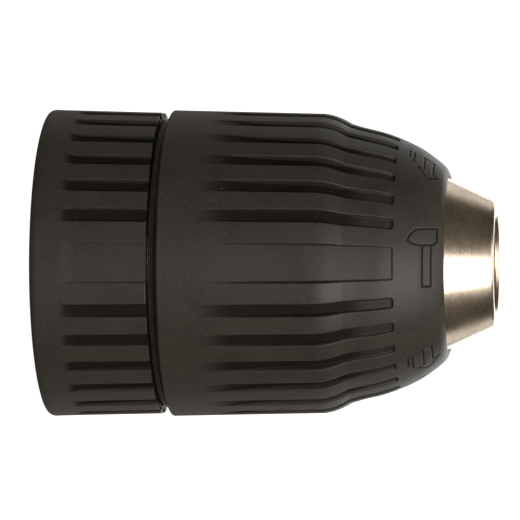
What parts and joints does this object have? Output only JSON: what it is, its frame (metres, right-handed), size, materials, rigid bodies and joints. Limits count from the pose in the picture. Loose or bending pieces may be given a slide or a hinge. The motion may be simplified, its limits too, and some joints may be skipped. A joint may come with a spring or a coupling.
{
  "type": "drill chuck",
  "caption": "Keyless drill chuck with a fixed rear collar, a turning ribbed front sleeve, a steel nose ring and inclined self-centring jaws.",
  "frame": {"origin": "centre of the rear face, where the spindle thread opens", "axes": "+Z along the chuck's axis, from the spindle end toward the nose; -Y faces a wide groove of the grips"},
  "size_m": [0.0434, 0.0434, 0.0631],
  "materials": {
    "body_steel": "turned and lightly oiled",
    "jaw_steel": "hardened and ground",
    "bearing_steel": "ground bright",
    "ball_steel": "polished",
    "cage_brass": "pressed sheet",
    "nut_steel": "hardened, dark",
    "spring_steel": "blued",
    "grip_black": "finely grained moulded",
    "nose_steel": "turned with fine rings",
    "seal_rubber": "matt"
  },
  "bodies": {
    "body": {"chuck_body": "body_steel", "rear_collar": "grip_black", "nose_ring": "nose_steel", "ratchet_ring": "nut_steel", "rear_race": "bearing_steel", "dust_seal": "seal_rubber"},
    "nut_unit": {"nut_half_a": "nut_steel", "nut_half_b": "nut_steel", "nut_band": "body_steel", "front_race": "bearing_steel", "pawl_spring": "spring_steel"},
    "sleeve_unit": {"front_sleeve": "grip_black", "sleeve_liner": "body_steel"},
    "bearing": {"ball_cage": "cage_brass", "bearing_balls": "ball_steel"},
    "jaw_1": {"jaw_1": "jaw_steel"},
    "jaw_2": {"jaw_2": "jaw_steel"},
    "jaw_3": {"jaw_3": "jaw_steel"}
  },
  "joints": [
    {"name": "nut_turn", "type": "hinge", "parent": "body", "child": "nut_unit", "pos_m": [0, 0, 0.0355], "axis": [0, 0, -1], "range_deg": [0, 4828.34]},
    {"name": "sleeve_lock", "type": "hinge", "parent": "nut_unit", "child": "sleeve_unit", "pos_m": [0, 0, 0.0355], "axis": [0, 0, -1], "range_deg": [0, 12]},
    {"name": "bearing_roll", "type": "hinge", "parent": "body", "child": "bearing", "pos_m": [0, 0, 0.029], "axis": [0, 0, -1], "range_deg": [0, 2414.18]},
    {"name": "jaw_1_slide", "type": "slide", "parent": "body", "child": "jaw_1", "axis": [0, 0.2588, 0.9659], "range_m": [0, 0.02222]},
    {"name": "jaw_2_slide", "type": "slide", "parent": "body", "child": "jaw_2", "axis": [-0.2241, -0.1294, 0.9659], "range_m": [0, 0.02222]},
    {"name": "jaw_3_slide", "type": "slide", "parent": "body", "child": "jaw_3", "axis": [0.2241, -0.1294, 0.9659], "range_m": [0, 0.02222]}
  ],
  "couplings": [
    {"joint": "bearing_roll", "follows": "nut_turn", "ratio": 0.5},
    {"joint": "jaw_1_slide", "follows": "nut_turn", "m_per_rad": 0.00026363},
    {"joint": "jaw_2_slide", "follows": "nut_turn", "m_per_rad": 0.00026363},
    {"joint": "jaw_3_slide", "follows": "nut_turn", "m_per_rad": 0.00026363}
  ]
}
